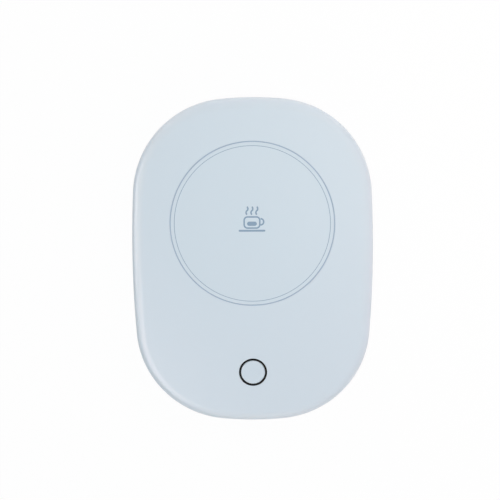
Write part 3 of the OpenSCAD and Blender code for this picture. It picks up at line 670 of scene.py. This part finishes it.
class WARMER_OT_top_cover(Operator):
    """Add the upper cover, swept along the outline, with its openings, ribs and bosses"""
    bl_idname = "warmer.top_cover"
    bl_label = "Top cover"

    def execute(self, context):
        sizes = context.scene.warmer_sizes
        look = context.scene.warmer_finish
        shell = finish("shell plastic", look.shell, look.shell_gloss, drift=0.25, rough_drift=0.06, grain=0.25,
                       bump=0.004, unevenness=0.4)
        ceiling = COVER_HIGH.z - sizes.wall
        bosses = self.bosses()
        bm = self.shell(sizes, ceiling)
        bm = boolean(bm, self.collars(ceiling), "UNION")
        bm = boolean(bm, self.posts(bosses, ceiling), "UNION")
        bm = boolean(bm, self.ribs(sizes, bosses, ceiling), "UNION")
        bm = boolean(bm, self.holes(sizes, bosses), "DIFFERENCE")
        add_piece("top_cover_shell", bm, shell, stands_for=("top_cover",))
        return {"FINISHED"}

    def shell(self, sizes, ceiling):
        """Side wall, soft top edge and ceiling, with the openings of the plate and the button."""
        top, low = COVER_HIGH.z, sizes.parting_z
        ease = sizes.crown_r * tan(sizes.crown_slope / 2)
        slope = sizes.top_edge_r * tan(pi / 4 - sizes.crown_slope / 2) + ease
        crown_in = sizes.draft + slope * cos(sizes.crown_slope)
        flat_in = crown_in + ease + SUPPORT
        low_edge_r = 0.25 * MM
        bm = bmesh.new()
        sweep(bm, rounded([
            (flat_in, top), (crown_in, top, sizes.crown_r),
            (sizes.draft, top - slope * sin(sizes.crown_slope), sizes.top_edge_r), (0, low, low_edge_r),
            (sizes.wall, low, BLUNT), (sizes.wall + sizes.draft, ceiling, sizes.top_edge_r - sizes.wall),
            (flat_in, ceiling)]), outline(sizes))
        opening = plate_flange_r() - sizes.flange_w + sizes.gasket_w
        button_hole = button_hole_r(sizes) + sizes.ring_w
        for centre, radius, steps in ((plate_centre(), opening, PLATE_TURN),
                                      (button_centre(), button_hole, FOOT_TURN)):
            sweep(bm, rounded([(-SUPPORT, top), (0, top, sizes.hole_edge_r), (0, ceiling, CRISP),
                               (-SUPPORT, ceiling)]), full_circle(centre, radius, steps))
        fill_level(bm, top)
        fill_level(bm, ceiling)
        return bm

    def collars(self, ceiling):
        """Well round the plate's flange and collar round the flange of the button's ring."""
        bm = bmesh.new()
        for centre, flange_r, gap, thick, height in (
                (plate_centre(), plate_flange_r(), 0.2 * MM, 1.2 * MM, 2.6 * MM),
                (button_centre(), ring_flange_r(), 0.1 * MM, 1 * MM, 1.8 * MM)):
            inner, outer, low = flange_r + gap, flange_r + gap + thick, ceiling - height
            revolve(bm, rounded([(inner, low, EASED), (outer, low, EASED), (outer, ceiling + ROOT),
                                 (inner, ceiling + ROOT)], ring=True), centre, steps=COLLAR_TURN)
        return bm

    def bosses(self):
        """The bosses under the ceiling, one for each screw."""
        found = []
        for screws, held, seat, radius, screw_r in BOSSES:
            low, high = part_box(held)
            for first, last in solids(screws):
                centre = middle(first, last)
                if low.x < centre.x < high.x and low.y < centre.y < high.y:
                    found.append(Boss(centre, seat, radius, screw_r, last.z))
        return found

    def posts(self, bosses, ceiling):
        """Bosses from their seats up into the ceiling."""
        bm = bmesh.new()
        for boss in bosses:
            rod(bm, boss.centre, boss.radius, boss.seat, ceiling + ROOT)
        return bm

    def ribs(self, sizes, bosses, ceiling):
        """Ribs out from the plate's well, the front case bosses and the front board bosses to the wall."""
        low, high = ceiling - sizes.rib_h, ceiling + ROOT
        far = COVER_HIGH.y - COVER_LOW.y
        centre = plate_centre()
        well_r = plate_flange_r() + 0.7 * MM        # inside the wall of the plate's well
        bm = bmesh.new()
        for degrees in RIB_ANGLES:
            way = Vector((cos(radians(degrees)), sin(radians(degrees)), 0))
            bar(bm, centre + well_r * way, centre + far * way, sizes.rib_t, low, high)
        case_r = max(boss.radius for boss in bosses)
        board_y = min(boss.centre.y for boss in bosses)
        for boss in bosses:
            place = boss.centre
            if boss.radius == case_r and place.y < 0:
                corner = place + far * Vector((place.x, -abs(place.x), 0)).normalized()
                bar(bm, place, corner, sizes.rib_t, low, high)
            elif place.y < board_y + TOUCH:
                bar(bm, place, place - Vector((0, far, 0)), sizes.rib_t, low, high)
        room = bmesh.new()              # the ribs end inside the wall
        half = sizes.wall / 2
        sweep(room, rounded([(sizes.draft + half, low - MM),
                             (sizes.draft + half, COVER_HIGH.z - half, sizes.top_edge_r - half),
                             (sizes.draft + sizes.top_edge_r, COVER_HIGH.z - half)]), outline(sizes))
        fill_level(room, low - MM)
        fill_level(room, COVER_HIGH.z - half)
        return boolean(bm, room, "INTERSECT")

    def holes(self, sizes, bosses):
        """Screw holes of the bosses, notch for the plate's key and mouth of the power inlet."""
        bm = self.inlet_opening(sizes)
        for boss in bosses:
            rod(bm, boss.centre, boss.screw_r, boss.seat - ROOT, boss.end, steps=SCREW_TURN)
        key_gap, key_below = 0.2 * MM, 1.5 * MM
        back = plate_centre() + Vector((0, plate_flange_r() - ROOT, 0))
        bar(bm, back, (back.x, PLATE_HIGH.y + ROOT), sizes.key_w + 2 * key_gap, PLATE_LOW.z - key_below,
            GASKET_LOW.z + key_gap)
        return bm

    def inlet_opening(self, sizes):
        """Slot through the back wall, flared at its mouth."""
        flare = 0.25 * MM
        centre = Vector((0, middle(INLET_LOW, INLET_HIGH).y, middle(TONGUE_LOW, TONGUE_HIGH).z))
        reach = COVER_HIGH.y - centre.y
        slot_w = INLET_HIGH.x - INLET_LOW.x + 2 * sizes.inlet_gap
        bm = bmesh.new()
        sweep(bm, [(0, 0), (0, reach - flare), (-2 * flare, reach + flare)],
              stadium((0, 0), slot_w, sizes.inlet_h + 2 * sizes.inlet_gap))
        close_ends(bm)
        bmesh.ops.rotate(bm, verts=bm.verts, matrix=Matrix.Rotation(-pi / 2, 3, "X"))
        bmesh.ops.translate(bm, verts=bm.verts, vec=centre)
        return bm


class WARMER_OT_bottom_cover(Operator):
    """Add the lower cover with its lip, foot recesses, screw wells, vents, ribs and hooks"""
    bl_idname = "warmer.bottom_cover"
    bl_label = "Bottom cover"

    well_r = 4.1 * MM                   # outside of a screw well
    head_r = 2.8 * MM                   # room for the screw's head in it
    rib_inset = (well_r + head_r) / 2   # where a rib ends in the well's wall
    rib_top = COVER_LOW.z - 0.1 * MM    # just under the case bosses

    def execute(self, context):
        sizes = context.scene.warmer_sizes
        look = context.scene.warmer_finish
        base = finish("base plastic", look.shell, 0.55, drift=0.25, rough_drift=0.06, grain=0.35, bump=0.012)
        floor_top = BASE_LOW.z + sizes.wall
        wells = [middle(*foot) for foot in solids("rubber_feet")]
        bm = self.shell(sizes, wells, floor_top)
        bm = boolean(bm, self.side_ribs(sizes, wells, floor_top), "UNION")
        bm = boolean(bm, self.cross_ribs(sizes, wells, floor_top), "UNION")
        bm = boolean(bm, self.hooks(floor_top), "UNION")
        add_piece("bottom_cover_shell", bm, base, stands_for=("bottom_cover",))
        return {"FINISHED"}

    def shell(self, sizes, wells, floor_top):
        """Tucked-in side wall, lip and floor, with the screw wells and the vents."""
        low, lip_top = BASE_LOW.z, sizes.parting_z + sizes.lip_h
        shoulder = sizes.parting_z - sizes.parting_gap
        lip_in = sizes.wall + sizes.lip_clear
        inner = lip_in + sizes.lip_t
        flat_in = sizes.draft + sizes.low_edge_r + SUPPORT
        floor_fillet = 1.5 * MM
        bm = bmesh.new()
        sweep(bm, rounded([
            (flat_in, low), (sizes.draft, low, sizes.low_edge_r), (sizes.draft, shoulder, EASED),
            (lip_in, shoulder), (lip_in, lip_top, SOFT), (inner, lip_top, SOFT),
            (inner, floor_top, floor_fillet), (flat_in, floor_top)]), outline(sizes))
        for centre in wells:
            self.screw_well(bm, sizes, centre, low, floor_top)
        for i in range(sizes.vents):
            self.vent(bm, sizes, (i - (sizes.vents - 1) / 2) * sizes.vent_pitch, low, floor_top)
        fill_level(bm, low)
        fill_level(bm, floor_top)
        return bm

    def screw_well(self, bm, sizes, centre, low, floor_top):
        """Foot recess with the well of a case screw above it."""
        bore_r, seat, top = 1.5 * MM, 4.2 * MM, COVER_LOW.z
        revolve(bm, rounded([
            (sizes.foot_r + SUPPORT, low), (sizes.foot_r, low, EASED),
            (sizes.foot_r, low + sizes.foot_recess, CRISP), (self.head_r, low + sizes.foot_recess, CRISP),
            (self.head_r, seat), (bore_r, seat), (bore_r, top), (self.well_r, top, BLUNT),
            (self.well_r, floor_top, SOFT), (self.well_r + SUPPORT + SOFT, floor_top)]),
            centre, ring=False, steps=FOOT_TURN)

    def vent(self, bm, sizes, x, low, floor_top):
        """Slot through the floor, its length along y, with a soft edge outside."""
        shift = (sizes.vent_l - sizes.vent_w) / 2
        y = plate_centre().y
        path = [Arc((x, y + shift), sizes.vent_w / 2, 0, pi, VENT_END),
                Arc((x, y - shift), sizes.vent_w / 2, pi, pi, VENT_END)]
        sweep(bm, rounded([(-SUPPORT, low), (0, low, SOFT), (0, floor_top, CRISP),
                           (-SUPPORT, floor_top)]), path)

    def side_ribs(self, sizes, wells, floor_top):
        """Ribs along both sides, from well to well."""
        bm = bmesh.new()
        for side in (-1, 1):
            front, back = sorted((well for well in wells if well.x * side > 0), key=lambda well: well.y)
            way = (back - front).normalized() * self.rib_inset
            bar(bm, front + way, back - way, sizes.rib_t, floor_top - ROOT, self.rib_top)
        return bm

    def cross_ribs(self, sizes, wells, floor_top):
        """Ribs across the floor, with gaps where leads run over them."""
        gap, behind_button, behind_plate = 0.6 * MM, 26 * MM, 18 * MM
        front_y, back_y = min(well.y for well in wells), max(well.y for well in wells)
        leads = sorted((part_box(row[0]) for row in HOOKS), key=lambda box: box[0].x)
        bm = bmesh.new()
        for y, inset in ((front_y, self.rib_inset), (button_centre().y + behind_button, 0),
                         (plate_centre().y + behind_plate, 0), (back_y, self.rib_inset)):
            reach = max(well.x for well in wells if (well.y < 0) == (y == front_y)) - inset
            start = -reach
            for low, high in (box for box in leads if box[0].y < y < box[1].y):
                bar(bm, (start, y), (low.x - gap, y), sizes.rib_t, floor_top - ROOT, self.rib_top)
                start = high.x + gap
            bar(bm, (start, y), (reach, y), sizes.rib_t, floor_top - ROOT, self.rib_top)
        return bm

    def hooks(self, floor_top):
        """Pairs of hooks over the leads."""
        gap, thick, over, wide = 0.2 * MM, 0.9 * MM, 1 * MM, 3 * MM
        bm = bmesh.new()
        for name, run_top, y in HOOKS:
            low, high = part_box(name)
            clear = run_top + gap
            for side, x in ((-1, low.x - gap), (1, high.x + gap)):
                profile = [(x, floor_top - ROOT), (x, clear), (x - side * over, clear),
                           (x - side * over, clear + thick), (x + side * thick, clear + thick),
                           (x + side * thick, floor_top - ROOT)]
                face = bm.faces.new([bm.verts.new((px, y - wide / 2, pz)) for px, pz in profile])
                run = bmesh.ops.extrude_face_region(bm, geom=[face], use_keep_orig=True)
                bmesh.ops.translate(bm, vec=(0, wide, 0), verts=moved_verts(run))
        return bm


class WARMER_OT_plate(Operator):
    """Add the heated plate, its gasket, the printed ring and the printed sign"""
    bl_idname = "warmer.plate"
    bl_label = "Heated plate"

    def execute(self, context):
        sizes = context.scene.warmer_sizes
        look = context.scene.warmer_finish
        coat = finish("plate coating", look.plate, look.plate_gloss, drift=0.2, rough_drift=0.06, grain=0.2,
                      bump=0.003, unevenness=0.4)
        silicone = finish("silicone", look.line, 0.6, grain=0.2, bump=0.004)
        ink = finish("printed ink", look.ink, 0.5, drift=0.3, grain=0.1, bump=0.003)
        self.add_plate(sizes, coat)
        self.add_gasket(sizes, silicone)
        self.add_ring(sizes, ink)
        self.add_sign(sizes, ink)
        return {"FINISHED"}

    def add_plate(self, sizes, material):
        """Coated disc with a rim, a flange under it and a key at the back."""
        centre, flange_r, low, top = plate_centre(), plate_flange_r(), PLATE_LOW.z, PLATE_HIGH.z
        plate_r = flange_r - sizes.flange_w
        thick, flange_t = 1.6 * MM, GASKET_LOW.z - low
        rim_in = plate_r - thick
        bm = bmesh.new()
        revolve(bm, rounded([
            (0, top - thick), (rim_in, top - thick, SOFT), (rim_in, low), (flange_r, low, CRISP),
            (flange_r, low + flange_t, CRISP), (plate_r, low + flange_t), (plate_r, top, sizes.plate_edge_r),
            (plate_r - sizes.plate_edge_r - SUPPORT, top), (0, top)]), centre, ring=False, steps=PLATE_TURN)
        key = bmesh.new()
        bar(key, centre + Vector((0, flange_r - ROOT, 0)), (centre.x, PLATE_HIGH.y), sizes.key_w, low,
            low + flange_t)
        add_piece("heated_plate", boolean(bm, key, "UNION"), material, stands_for=("heating_plate",))

    def add_gasket(self, sizes, material):
        """Thin ring between the plate and the cover, on the plate's flange."""
        flange_r, low, top = plate_flange_r(), GASKET_LOW.z, GASKET_HIGH.z
        inner, step = flange_r - sizes.flange_w, COVER_HIGH.z - sizes.wall
        outer = inner + sizes.gasket_w
        sunk = 0.08 * MM                # how far it lies under the plate's face
        bm = bmesh.new()
        revolve(bm, rounded([
            (inner, low), (flange_r, low, CRISP), (flange_r, step), (outer, step), (outer, top - sunk, CRISP),
            (inner, top - sunk, CRISP)], ring=True), plate_centre(), steps=PLATE_TURN)
        add_piece("gasket_ring", bm, material, stands_for=("plate_gasket",))

    def ink_strip(self, sizes, width):
        """Section of a printed line: (inset, z) round a flat strip on the plate."""
        half, low, high = width / 2, PLATE_HIGH.z, PLATE_HIGH.z + sizes.ink_t
        return [(-half, low), (half, low), (half, high), (-half, high)]

    def add_ring(self, sizes, material):
        """Printed circle on the plate."""
        bm = bmesh.new()
        circle = full_circle(plate_centre(), sizes.print_r, PRINT_TURN)
        sweep(bm, self.ink_strip(sizes, sizes.print_w), circle, ring=True)
        add_piece("printed_ring", bm, material)

    def add_sign(self, sizes, material):
        """Plain sign of a steaming mug on a saucer, in lines of one width, with the drink filled in."""
        line = sizes.sign_w
        strip = self.ink_strip(sizes, line)
        bm = bmesh.new()
        x, y = plate_centre().x - 0.15 * MM, plate_centre().y + 0.9 * MM
        half_w, half_h, bend = 3.5 * MM, 2.5 * MM, 1.5 * MM
        bend_steps, handle_steps, bow_steps = 8, 16, 10
        mug = [Arc((x + sx * (half_w - bend), y + sy * (half_h - bend)), bend, start, pi / 2, bend_steps)
               for sx, sy, start in ((1, -1, -pi / 2), (1, 1, 0), (-1, 1, pi / 2), (-1, -1, pi))]
        sweep(bm, strip, mug, ring=True)
        handle_r, handle_up = 1.4 * MM, 0.3 * MM
        handle = [Arc((x + half_w + line / 2, y + handle_up), handle_r, -pi / 2, pi, handle_steps)]
        sweep(bm, strip, handle, ring=True, closed=False)
        bow, lean, apart = 1.15 * MM, radians(50), 2.2 * MM     # each wisp of steam is two bows
        steam_y = y + half_h + 1.05 * MM
        for shift in (-apart, 0, apart):
            steam = [Arc((x + shift + side * bow * cos(lean), steam_y + rise * bow * sin(lean)), bow,
                         pi / 2 + side * (pi / 2 + lean), -side * 2 * lean, bow_steps)
                     for side, rise in ((1, 1), (-1, 3))]
            sweep(bm, strip, steam, ring=True, closed=False)
        close_ends(bm)
        edge = [(0, PLATE_HIGH.z), (0, PLATE_HIGH.z + sizes.ink_t)]
        saucer = (half_h + 1.2 * MM, 12 * MM, 1.2 * line)      # distance down, width and height
        drink = (0.55 * MM, 4.4 * MM, 1.9 * MM)
        for down, width, height in (saucer, drink):
            shape = bmesh.new()
            sweep(shape, edge, stadium((x, y - down), width, height))
            close_ends(shape)
            merge(bm, shape)
        add_piece("printed_sign", bm, material)


class WARMER_OT_button(Operator):
    """Add the button and the ring round it"""
    bl_idname = "warmer.button"
    bl_label = "Button"

    def execute(self, context):
        sizes = context.scene.warmer_sizes
        look = context.scene.warmer_finish
        cap = finish("button plastic", look.cap, look.shell_gloss, drift=0.25, rough_drift=0.06, grain=0.25,
                     bump=0.004)
        smoked = finish("smoked plastic", look.ring, 0.3, grain=0.3, bump=0.002, Specular_IOR_Level=0.15)
        self.add_ring(sizes, smoked)
        self.add_cap(sizes, cap)
        return {"FINISHED"}

    def add_ring(self, sizes, material):
        """Dark ring, flush with the cover, with a flange under it."""
        inner = button_hole_r(sizes)
        outer = inner + sizes.ring_w
        step = COVER_HIGH.z - sizes.wall
        flange_r = outer + sizes.ring_flange
        face_edge = 0.12 * MM
        bm = bmesh.new()
        revolve(bm, rounded([
            (inner, RING_LOW.z), (flange_r, RING_LOW.z, CRISP), (flange_r, step), (outer, step),
            (outer, RING_HIGH.z, face_edge), (inner, RING_HIGH.z, face_edge)], ring=True), button_centre())
        add_piece("ring_bezel", bm, material, stands_for=("button_ring",))

    def add_cap(self, sizes, material):
        """Hollow button with a stem under it and a flange that keeps it in."""
        low, top = CAP_LOW.z, CAP_HIGH.z
        cap_r = button_hole_r(sizes) - sizes.cap_gap
        flange_r = (CAP_HIGH.x - CAP_LOW.x) / 2
        flange_low, flange_top = low + 0.35 * MM, low + 1.35 * MM
        stem_r = 1.7 * MM
        under = top - sizes.cap_t
        bm = bmesh.new()
        revolve(bm, rounded([
            (0, low), (stem_r, low, CRISP), (stem_r, under, BLUNT), (cap_r - sizes.cap_t, under, BLUNT),
            (cap_r - sizes.cap_t, flange_low), (flange_r, flange_low, CRISP), (flange_r, flange_top, CRISP),
            (cap_r, flange_top), (cap_r, top, sizes.cap_edge_r), (cap_r - sizes.cap_edge_r - SUPPORT, top),
            (0, top)]), button_centre(), ring=False)
        add_piece("button_face", bm, material, body="button", stands_for=("button_cap",))


class WARMER_OT_feet(Operator):
    """Add the rubber feet"""
    bl_idname = "warmer.feet"
    bl_label = "Feet"

    def execute(self, context):
        sizes = context.scene.warmer_sizes
        look = context.scene.warmer_finish
        rubber = finish("foot rubber", look.foot, 0.75, drift=0.5, grain=0.25, bump=0.01)
        bm = bmesh.new()
        for low, high in solids("rubber_feet"):
            revolve(bm, rounded([
                (0, low.z), (sizes.foot_r - sizes.foot_edge, low.z, BLUNT),
                (sizes.foot_r, low.z + sizes.foot_edge, BLUNT), (sizes.foot_r, high.z), (0, high.z)]),
                middle(low, high), ring=False, steps=FOOT_TURN)
        add_piece("feet", bm, rubber, stands_for=("rubber_feet",))
        return {"FINISHED"}


class WARMER_OT_inner_parts(Operator):
    """Give the CAD pieces that stay in view their materials"""
    bl_idname = "warmer.inner_parts"
    bl_label = "Inner parts"

    def execute(self, context):
        steel = finish("plated steel", (0.62, 0.62, 0.61, 1), 0.3, Metallic=1.0, grain=0.4, bump=0.002)
        aluminium = finish("milled aluminium", (0.72, 0.73, 0.74, 1), 0.35, Metallic=1.0, grain=0.5, bump=0.004)
        nylon = finish("dark nylon", (0.03, 0.032, 0.035, 1), 0.5, bump=0.01)
        board = finish("board lacquer", (0.012, 0.09, 0.045, 1), 0.3, drift=0.6, scale=300.0)
        package = finish("moulded package", (0.02, 0.02, 0.022, 1), 0.45, bump=0.006)
        ivory = finish("ivory nylon", (0.75, 0.7, 0.58, 1), 0.45)
        film = finish("polyimide film", (0.42, 0.17, 0.03, 1), 0.25)
        felt = finish("mineral felt", (0.78, 0.76, 0.7, 1), 0.9, drift=0.8, scale=400.0, grain=0.6, bump=0.15)
        red = finish("red silicone lead", (0.5, 0.02, 0.015, 1), 0.5)
        white = finish("white silicone lead", (0.8, 0.8, 0.78, 1), 0.5)
        black = finish("black silicone lead", (0.02, 0.02, 0.02, 1), 0.5)
        lens = finish("lamp lens", (0.75, 0.76, 0.78, 1), 0.3)
        groups = {
            steel: ("inlet_shell", "retainer_screws", "board_screws", "case_screws", "thermal_fuse"),
            aluminium: ("heat_spreader", "capacitors"),
            nylon: ("plate_retainer", "switch_body", "inlet_tongue"),
            board: ("control_board", "inlet_board"),
            package: ("controller_chip", "power_transistor", "resistors", "thermistor"),
            ivory: ("lead_connectors", "switch_plunger"),
            film: ("heater_film",),
            felt: ("insulation_pad",),
            red: ("heater_leads",),
            white: ("sensor_leads",),
            black: ("power_leads",),
            lens: ("status_leds",),
        }
        for material, names in groups.items():
            for name in names:
                paint_node(name, material)
        return {"FINISHED"}


STEPS = (WARMER_OT_stage, WARMER_OT_finishes, WARMER_OT_top_cover, WARMER_OT_bottom_cover, WARMER_OT_plate,
         WARMER_OT_button, WARMER_OT_feet, WARMER_OT_inner_parts)


class WARMER_PT_panel(Panel):
    """Sizes, finishes and steps of the mug warmer"""
    bl_idname = "WARMER_PT_panel"
    bl_label = "Mug Warmer"
    bl_space_type = "VIEW_3D"
    bl_region_type = "UI"
    bl_category = "Mug Warmer"

    def draw(self, context):
        layout = self.layout
        for holder in (context.scene.warmer_sizes, context.scene.warmer_finish, context.scene.warmer_stage):
            box = layout.box()
            for label in type(holder).__annotations__:
                box.prop(holder, label)
        for step in STEPS:
            layout.operator(step.bl_idname)


GROUPS = {"warmer_sizes": WarmerSizes, "warmer_finish": WarmerFinish, "warmer_stage": WarmerStage}
CLASSES = (*GROUPS.values(), *STEPS, WARMER_PT_panel)


def register():
    for cls in CLASSES:
        bpy.utils.register_class(cls)
    for name, group in GROUPS.items():
        setattr(bpy.types.Scene, name, PointerProperty(type=group))


def unregister():
    for name in GROUPS:
        delattr(bpy.types.Scene, name)
    for cls in reversed(CLASSES):
        bpy.utils.unregister_class(cls)


def main():
    register()
    for step in STEPS:
        area, name = step.bl_idname.split(".")
        getattr(getattr(bpy.ops, area), name)()


if __name__ == "__main__":
    main()
